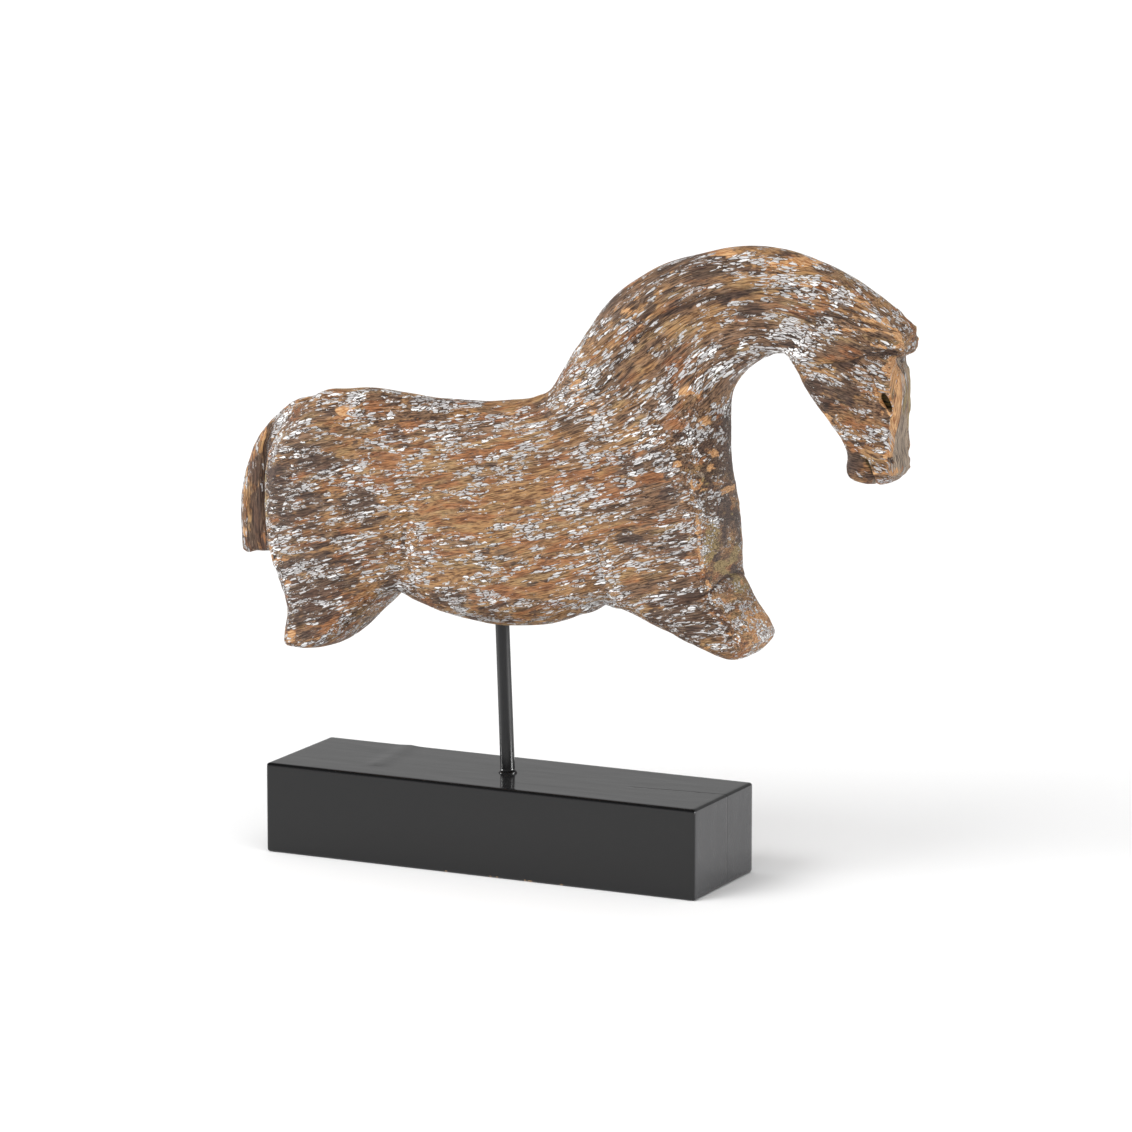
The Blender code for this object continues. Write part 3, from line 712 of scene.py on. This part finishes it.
def paintFields(mesh, points, places, grain, edges):
    normals = readMesh(mesh.vertices, "normal")
    hollow = averaged(points, edges, wear["smoothing"])
    proud = ((points - hollow) * normals).sum(1) / mm
    fromMiddle = points[:, 1] / mm
    fromEye = almondReach(places)
    onFace = places[:, 0] > horse["faceFrom"]
    front = frontShare(normals, places)
    ridge = np.interp(places[:, 1], *zip(*faceRidge))
    bare = front * onFace * (1 - smoothStep(fromMiddle + ridge, *wear["ridgeBlend"]))
    front -= bare
    face = front * onFace
    chest = front - face
    forelock = face * smoothStep(places[:, 1], *wear["forelock"])
    frontPlaces = np.stack([fromMiddle, places[:, 1]], 1)
    worn = np.clip(proud / wear["proud"], -1, 1) + wear["bare"] * bare
    outer = np.where(front > 0, smoothStep(np.abs(fromMiddle), *wear["outer"]), 1)
    for path, reach, strength in wornEdges:
        worn += outer * strength * bell(awayFromPath(places, path), 0, reach)
    worn += wear["ring"] * bell(fromEye, wear["ringAt"], wear["ringWidth"])
    extra = {
        # painted shade: places lying below their smoothed surroundings, the hollows, are darkened
        "dark": -np.clip(proud, -1, 0) * wear["dark"],
        "tan": np.clip(worn, 0, wear["most"]) * wear["tan"],
        # worn, proud places get more and whiter flakes: partly a painted highlight of the silver
        "white": np.clip(worn, 0, 1) * wear["white"] - wear["bareWhite"] * bare,
    }
    addField(mesh, "grain", grain)
    addField(mesh, "front", np.stack([chest, face, forelock], 1) @ np.array(wear["front"]))
    # painted shade inside the eye's hollow, and inside the through cuts by their last value
    deep = 1 - smoothStep(fromEye, *wear["eyeDeep"])
    for path, _, reach, paintedShade in throughCuts:
        deep = np.maximum(deep, paintedShade * bell(awayFromPath(places, path), 0, reach))
    addField(mesh, "deep", deep)
    for name, spots in sidePatches.items():
        value = (1 - front) * patches(places, spots) + extra.get(name, 0)
        value += chest * patches(frontPlaces, chestPatches[name])
        value += face * patches(frontPlaces, facePatches.get(name, ()))
        addField(mesh, name, value)


# Mango wood, carved, painted silver white and sanded back. It gives the eye age: open brown grain, darker
# where oil and grime stayed and, as painted shade, in the hollows and inside the cuts, bare and tan where
# the sanding went through, and broken flakes of the paint in rows along the grain, each with a rim of
# painted shade and whiter on the proud edges, partly as a painted highlight. Sizes are millimetres along
# the grain and across it.
weatheredWood = {
    "wobbles": (((34, 18), 4.5), ((6, 3), 0.5)),  # how the grain wanders: size of a bend, how far it goes
    "fibre": (15, 0.75),
    "pore": (5, 0.45),
    "poreShare": 0.58,
    "lines": (0.41, 0.585),  # of the two together, from between the fibres to fully on one
    "detail": 3.5,
    "brokenness": 0.6,
    "apart": 3.7,  # how far the patterns lie from each other in the noise's fourth dimension
    "plain": ("#2f2018", "#8b694e"),  # between the fibres, and on them
    # size, where it starts and is full, strength, painted field and its weight, its two colours
    "stains": (
        ((46, 11), (0.48, 0.6), 0.9, ("warm", 0.25), ("#5b3a22", "#b58a5a")),
        ((26, 6), (0.53, 0.62), 0.75, ("warm", 0.1), ("#58331d", "#a76b40")),
        ((22, 6), (0.54, 0.64), 0.6, ("warm", 0.05), ("#5a4428", "#b6976a")),
        # the dark field: dark stains, and painted shade in the hollows, the tail's groove and the mouth's
        # notch
        ((26, 9), (0.57, 0.65), 0.75, ("dark", 0.08), ("#33241a", "#7e624b")),
        ((12, 5), (0.6, 0.68), 0.85, ("dark", 0.3), ("#251a16", "#554138")),
        ((10, 7), (0.76, 0.86), 0.85, ("front", 0.3), ("#5f4f42", "#b5a38e")),
        ((9, 5), (0.68, 0.78), 0.85, ("ochre", 0.28), ("#67552f", "#b29a66")),
        ((7, 2.2), (0.68, 0.76), 0.95, ("tan", 0.38), ("#9c6436", "#dcae7b")),
        # painted shade inside the eye, the mouth's notch and the crack
        ((7, 2.2), (0.9, 1.3), 1, ("deep", 1), ("#20170c", "#5e4c24")),
    ),
    "blob": (11, 3.8),  # a patch of paint, before the grain breaks it
    "flake": (4.8, 1.1),  # one bit of it
    "flakeEdge": (1.5, 0.55),  # the bites out of its edge
    "biteDepth": 0.6,
    "edge": (0.37, 0.41),  # where, between the bite and the middle, a flake ends and where it is whole
    "group": (18, 9),  # a part of the carving with much paint, or little
    # what keeps a flake: its group, blob, own chance and bitten edge, then the painted fields
    "keeps": (0.75, 0.3, 0.34, 0.45, 0.13, -0.03, -1.0),
    "amount": (1.0, 1.015),  # the sum of those where flakes start, and are all there
    "hazeFrom": 0.2,  # how far below that the haze starts
    "hazeStrength": 0.25,
    "haze": "#bfa88f",  # paint that stayed in the pores between the flakes
    "flakeEdgeShade": "#30241c",  # painted shade: a dark rim round each flake, where its raised edge would shade
    "flakeEdgeShadeStrength": 0.7,
    "silver": ("#a6a3a2", "#d6d4d4"),
    "white": "#ffffff",
    "whiteShare": 0.45,  # how much brighter the flakes are where the painted field is strong; on the proud edges that is partly a painted highlight
    "whiteFrom": (0.7, 1.1),  # from a silver flake to a white one
    "roughness": (0.62, 0.42),  # of the wood, and of the flakes
    "shine": 0.35,
    "lineHeight": 0.6,  # of a flake's height
    "bump": 0.5,
    "bumpDepth": 0.35,
}


def makeWeatheredWood(look):
    made, tree = newMaterial("weatheredMangoWoodWithPaintRemains")
    place = addNode(tree, "Attribute", {"attribute_name": "grain"}, None, "Vector")
    fields = {
        name: addNode(tree, "Attribute", {"attribute_name": name}, None, "Fac")
        for name in ("front", "deep", *sidePatches)
    }

    for (length, width), reach in look["wobbles"]:
        spot = addNode(tree, "VectorMath", divided, {0: place, 1: (length, width, width)})
        bend = addNode(tree, "TexNoise", None, {"Vector": spot, "Scale": 1.0}, "Color")
        place = addNode(tree, "VectorMath", timesPlus, {0: bend, 1: [reach] * 3, 2: place})

    patterns = []
    sizes = [look[name] for name in ("fibre", "pore", "group", "flakeEdge")]
    sizes += [stain[0] for stain in look["stains"]]
    for i, (length, width) in enumerate(sizes):
        spot = addNode(tree, "VectorMath", divided, {0: place, 1: (length, width, width)})
        patterns.append(addNode(tree, "TexNoise", {"noise_dimensions": "4D"}, {
            "Vector": spot, "W": i * look["apart"], "Scale": 1.0,
            "Detail": look["detail"], "Roughness": look["brokenness"],
        }))
    fibres, pores, groups, bites, *stains = patterns

    lines = addNode(tree, "Mix", None, {0: look["poreShare"], 2: fibres, 3: pores})
    lines = addNode(tree, "MapRange", smoothly, {
        "Value": lines, "From Min": look["lines"][0], "From Max": look["lines"][1],
    })
    shades = (look["plain"], *(stain[4] for stain in look["stains"]), look["silver"])
    colour, *stained, silver = (
        addNode(tree, "Mix", coloured, {0: lines, 6: colourOf(between), 7: colourOf(on)}, 2)
        for between, on in shades
    )
    for stain, own, settings in zip(stains, stained, look["stains"]):
        _, (start, full), strength, (field, weight), _ = settings
        level = addNode(tree, "Math", timesPlus, {0: fields[field], 1: weight, 2: stain})
        level = addNode(tree, "MapRange", smoothly, {
            "Value": level, "From Min": start, "From Max": full, "To Max": strength,
        })
        colour = addNode(tree, "Mix", coloured, {0: level, 6: colour, 7: own}, 2)

    chances = []
    for length, width in (look["blob"], look["flake"]):
        spot = addNode(tree, "VectorMath", divided, {0: place, 1: (length, width, width)})
        colours = addNode(tree, "TexVoronoi", None, {"Vector": spot, "Scale": 1.0}, "Color")
        chances.append(addNode(tree, "SeparateXYZ", None, {0: colours}))
    crack = addNode(tree, "TexVoronoi", {"feature": "DISTANCE_TO_EDGE"}, {"Vector": spot, "Scale": 1.0})
    level = 0
    reasons = (groups, *chances, bites, *(fields[name] for name in ("white", "front", "deep")))
    for value, weight in zip(reasons, look["keeps"]):
        level = addNode(tree, "Math", timesPlus, {0: value, 1: weight, 2: level})
    edge = addNode(tree, "Math", timesPlus, {0: bites, 1: look["biteDepth"], 2: crack})
    chance = chances[1].node.outputs[1]
    # flakes turn white where the white field is strong; on the proud edges that is partly a painted
    # highlight
    bright = addNode(tree, "Math", timesPlus, {0: fields["white"], 1: look["whiteShare"], 2: chance})
    start, full = look["amount"]
    ramps = (
        (level, start, full), (level, start - look["hazeFrom"], start),
        (edge, *look["edge"]), (bright, *look["whiteFrom"]),
    )
    present, near, edge, bright = (
        addNode(tree, "MapRange", None, {"Value": value, "From Min": low, "From Max": high})
        for value, low, high in ramps
    )
    haze = addNode(tree, "Math", times, {0: near, 1: lines})
    factors = ((haze, look["hazeStrength"]), (present, look["flakeEdgeShadeStrength"]), (present, edge))
    haze, rim, flakes = (addNode(tree, "Math", times, {0: a, 1: b}) for a, b in factors)

    white, dusty, edgeShade = (colourOf(look[name]) for name in ("white", "haze", "flakeEdgeShade"))
    paint = addNode(tree, "Mix", coloured, {0: bright, 6: silver, 7: white}, 2)
    # the rim is a dark band of painted shade round each flake
    for share, over in ((haze, dusty), (rim, edgeShade), (flakes, paint)):
        colour = addNode(tree, "Mix", coloured, {0: share, 6: colour, 7: over}, 2)

    height = addNode(tree, "Math", timesPlus, {0: lines, 1: look["lineHeight"], 2: flakes})
    bump = addNode(tree, "Bump", None, {
        "Strength": look["bump"], "Distance": look["bumpDepth"] * mm, "Height": height,
    })
    roughness = addNode(tree, "MapRange", None, {
        "Value": flakes, "To Min": look["roughness"][0], "To Max": look["roughness"][1],
    })
    shader = addNode(tree, "BsdfPrincipled", None, {
        "Base Color": colour, "Roughness": roughness, "Normal": bump, "Specular IOR Level": look["shine"],
    })
    addNode(tree, "OutputMaterial", None, {"Surface": shader})
    return made


horseMesh, *horseShape = sculptHorse()
paintFields(horseMesh, *horseShape)
newPiece("horseCarving", horseMesh, makeWeatheredWood(weatheredWood), "horse")
print("horse carved and painted:", len(horseMesh.polygons), "faces")


# The block: two boards glued side by side under black lacquer. Rubbed to a shine, the grain just showing
# through, it gives the eye a dark mirror below the rough carving.
block = {
    "cell": 4.0,
    "edge": 1.8,
    "edgeSteps": 5,
    "ridge": ((-79, 38), (-73, -14)),  # a low swelling across the top, at its back and where it dies out
    "ridgeHeight": 0.5,
    "ridgeReach": 4.0,
    "seam": ((40, -6.3), (134, 4.1)),  # where the boards meet, on the top's right half and the right end
    "seamStart": (68, 80),
    "seamDepth": 0.16,
    "seamWidth": 0.5,
    "seamRows": (-2, -1, 0, 1, 2),  # where edges run beside it, in its widths
    "reliefDepth": (2.5, 0.4),  # how far below a face its relief starts, and is full
    "lacquer": ("#070708", "#3c3c3e"),  # along the grain, and on the two ends: lighter from end grain and from painted reflection
    "endFacing": 0.8,
    "grain": (70, 1.4, 3.0),  # a line's length, width and how broken it is: pine's rings, a bit coarse
    "swell": (40, 14, 1.0),
    "swellShare": 5.0,
    "brokenness": 0.55,
    "bump": 0.035,
    "ior": 1.5,
    "glossRange": (0.35, 0.7),  # of the grain, over which the roughness goes from the first to the second
    "roughness": (0.08, 0.2),
    "dust": 0.04,  # a fine layer that lightens the lacquer seen at a slant
    "dustRoughness": 0.4,
    # bare pine where the lower front edge was knocked: along, up, half length
    "chips": (
        (-19, 0.5, 1.0), (12, 0.5, 0.8), (32, 0.4, 2.4), (51, 0.6, 0.9), (29, 0.5, 0.7), (8, 0.4, 0.8),
    ),
    "chipReach": (1.2, 0.6),  # half their depth and height
    "chipEdge": (1.5, 1.3),
    "chipBumps": 1.11,  # how wide the bumps round their edges are
    "chip": "#a88a68",
}


def makeBlockMesh():
    low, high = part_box("base")
    size = high - low
    solid = bmesh.new()
    whole = Matrix.Translation((low + high) / 2) @ Matrix.Diagonal((*size, 1))
    bmesh.ops.create_cube(solid, size=1, matrix=whole)
    for axis in range(3):
        normal = Vector((axis == 0, axis == 1, axis == 2))
        cells = round(size[axis] / (block["cell"] * mm))
        for i in range(1, cells):
            addEdgesAt(solid, low + size * (i / cells), normal)
    eased = {"width": block["edge"] * mm, "segments": block["edgeSteps"]}
    solid = solidOf(modified(meshOf(solid, "block"), "BEVEL", eased))
    start, end = (Vector((*spot, 0)) * mm for spot in block["seam"])
    aside = (end - start).cross(Vector((0, 0, 1))).normalized()
    for i in block["seamRows"]:
        addEdgesAt(solid, start + aside * (i * block["seamWidth"] * mm), aside)
    mesh = meshOf(solid, "block")
    points = readMesh(mesh.vertices, "co")
    onTop = smoothStep(points[:, 2], *(high.z - depth * mm for depth in block["reliefDepth"]))
    onEnd = smoothStep(points[:, 0], *(high.x - depth * mm for depth in block["reliefDepth"]))
    ridge = bell(awayFromPath(points[:, :2] / mm, block["ridge"]), 0, block["ridgeReach"])
    points[:, 2] -= block["ridgeHeight"] * mm * onTop * (1 - ridge)
    away = np.abs((points - np.array(start)) @ np.array(aside)) / mm
    groove = block["seamDepth"] * mm * np.clip(1 - away / block["seamWidth"], 0, 1)
    groove *= smoothStep(points[:, 0] / mm, *block["seamStart"])
    points[:, 0] -= groove * onEnd
    points[:, 2] -= groove * onTop
    writeVertices(mesh, points)
    return mesh


def makeLacquer(look):
    made, tree = newMaterial("blackNitrocelluloseLacquerOnPine")
    place = addNode(tree, "NewGeometry")
    patterns = []
    for length, width, detail in (look["grain"], look["swell"]):
        size = (length * mm, width * mm, width * mm)
        spot = addNode(tree, "VectorMath", divided, {0: place, 1: size})
        patterns.append(addNode(tree, "TexNoise", None, {
            "Vector": spot, "Scale": 1.0, "Detail": detail, "Roughness": look["brokenness"],
        }))
    grain, swell = patterns
    height = addNode(tree, "Math", timesPlus, {0: swell, 1: look["swellShare"], 2: grain})
    bump = addNode(tree, "Bump", None, {"Distance": look["bump"] * mm, "Height": height})
    roughness = addNode(tree, "MapRange", None, {
        "Value": grain, "From Min": look["glossRange"][0], "From Max": look["glossRange"][1],
        "To Min": look["roughness"][0], "To Max": look["roughness"][1],
    })
    ragged = addNode(tree, "TexNoise", None, {"Vector": place, "Scale": 1 / (look["chipBumps"] * mm)})
    ends = addNode(tree, "VectorMath", {"operation": "ABSOLUTE"}, {0: place.node.outputs["Normal"]})
    ends = addNode(tree, "SeparateXYZ", None, {0: ends}, "X")
    ends = addNode(tree, "MapRange", None, {"Value": ends, "From Min": look["endFacing"]})
    # the ends are painted lighter: partly end grain that drank more lacquer, partly painted reflection
    onSides, onEnds = (colourOf(lacquer) for lacquer in look["lacquer"])
    colour = addNode(tree, "Mix", coloured, {0: ends, 6: onSides, 7: onEnds}, 2)
    for along, up, reach in look["chips"]:
        size = Vector((reach, *look["chipReach"])) * mm
        spot = Vector((along * mm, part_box("base")[0].y, up * mm))
        scaled = addNode(tree, "VectorMath", divided, {0: place, 1: size})
        away = addNode(tree, "VectorMath", {"operation": "DISTANCE"}, {
            0: scaled, 1: [spot[i] / size[i] for i in range(3)],
        }, "Value")
        away = addNode(tree, "Math", {"operation": "ADD"}, {0: away, 1: ragged})
        bare = addNode(tree, "MapRange", None, {
            "Value": away, "From Min": look["chipEdge"][0], "From Max": look["chipEdge"][1],
        })
        colour = addNode(tree, "Mix", coloured, {0: bare, 6: colour, 7: colourOf(look["chip"])}, 2)
    shader = addNode(tree, "BsdfPrincipled", None, {
        "Base Color": colour, "Roughness": roughness, "Normal": bump, "IOR": look["ior"],
        "Sheen Weight": look["dust"], "Sheen Roughness": look["dustRoughness"],
    })
    addNode(tree, "OutputMaterial", None, {"Surface": shader})
    return made


newPiece("lacqueredBlock", makeBlockMesh(), makeLacquer(block), "base")
print("block made")


# The rod: drawn steel bar, dipped in black lacquer that gathers in a small collar at its foot. It gives the
# eye a thin line, glossy at the foot and satin above.
rod = {
    "sides": 72,
    "endReach": 4,  # how near to its ends the frame's own points lie
    "footWidth": 1.06,  # of the frame's own radius: the lacquer lies a little thicker low down
    "collarHeight": 1.8,
    "collarReach": 1.1,
    "collarBelow": -0.7,
    "collarRings": 16,
    "ringSpan": 1.4,  # how much of the collar's height the rings cover, and how much of that is under it
    "ringsBelow": 0.35,
    "sharpAngle": 50,
    "paint": ("#070708", "#131315"),  # near the foot, and above
    "roughness": (0.16, 0.36),
    "glossHeight": (6, 30),  # millimetres above the block between which it turns satin
    "marks": (0.714, 0.714, 3.85),  # the bar's drawing marks, as coarse as they need to be to show
    "marksDetail": 3.0,
    "marksInGloss": 0.16,
    "bump": 0.012,
    "ior": 1.5,
}


def makeRodMesh():
    points = readMesh(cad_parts["rod"].data.vertices, "co")
    top = points[points[:, 2] > points[:, 2].max() - rod["endReach"] * mm].mean(0)
    bottom = points[points[:, 2] < points[:, 2].min() + rod["endReach"] * mm].mean(0)
    axis = Vector(top - bottom).normalized()
    reach = (points - bottom) @ np.array(axis)
    radius = np.linalg.norm(points - bottom - reach[:, None] * np.array(axis), axis=1).max()
    solid = bmesh.new()
    bmesh.ops.create_cone(solid, cap_ends=True, segments=rod["sides"], radius1=radius * rod["footWidth"],
                          radius2=radius, depth=reach.max() - reach.min())
    turn = axis.to_track_quat("Z", "Y").to_matrix().to_4x4()
    middle = Vector(bottom) + axis * ((reach.max() + reach.min()) / 2)
    bmesh.ops.transform(solid, matrix=Matrix.Translation(middle) @ turn, verts=solid.verts)
    foot = Vector(bottom) + axis * ((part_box("base")[1].z - bottom[2]) / axis.z)
    for i in range(rod["collarRings"]):
        share = rod["ringSpan"] * i / (rod["collarRings"] - 1) - rod["ringsBelow"]
        addEdgesAt(solid, foot + axis * (rod["collarHeight"] * share * mm), axis)
    for vertex in solid.verts:
        along = (vertex.co - foot).dot(axis)
        above = along / mm
        if rod["collarBelow"] < above < rod["collarHeight"]:
            out = vertex.co - foot - axis * along
            swell = (1 - max(above, 0) / rod["collarHeight"]) ** 2
            vertex.co += out.normalized() * (rod["collarReach"] * mm * swell)
    return meshOf(solid, "rod")


def makeRodPaint(look):
    made, tree = newMaterial("blackLacqueredSteel")
    place = addNode(tree, "NewGeometry")
    spot = addNode(tree, "VectorMath", divided, {0: place, 1: [size * mm for size in look["marks"]]})
    marks = addNode(tree, "TexNoise", None, {"Vector": spot, "Scale": 1.0, "Detail": look["marksDetail"]})
    upward = addNode(tree, "SeparateXYZ", None, {0: place}, "Z")
    low, high = (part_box("base")[1].z + height * mm for height in look["glossHeight"])
    rise = addNode(tree, "MapRange", smoothly, {"Value": upward, "From Min": low, "From Max": high})
    satin = addNode(tree, "MapRange", None, {
        "Value": rise, "To Min": look["roughness"][0], "To Max": look["roughness"][1],
    })
    gloss = addNode(tree, "Math", timesPlus, {0: marks, 1: look["marksInGloss"], 2: satin})
    nearFoot, above = (colourOf(paint) for paint in look["paint"])
    colour = addNode(tree, "Mix", coloured, {0: rise, 6: nearFoot, 7: above}, 2)
    bump = addNode(tree, "Bump", None, {"Distance": look["bump"] * mm, "Height": marks})
    surface = {"Base Color": colour, "Roughness": gloss, "Normal": bump, "IOR": look["ior"]}
    shader = addNode(tree, "BsdfPrincipled", None, surface)
    addNode(tree, "OutputMaterial", None, {"Surface": shader})
    return made


rodPiece = newPiece("lacqueredRod", makeRodMesh(), makeRodPaint(rod), "rod")
rodPiece.data.set_sharp_from_angle(angle=math.radians(rod["sharpAngle"]))
print("rod made")
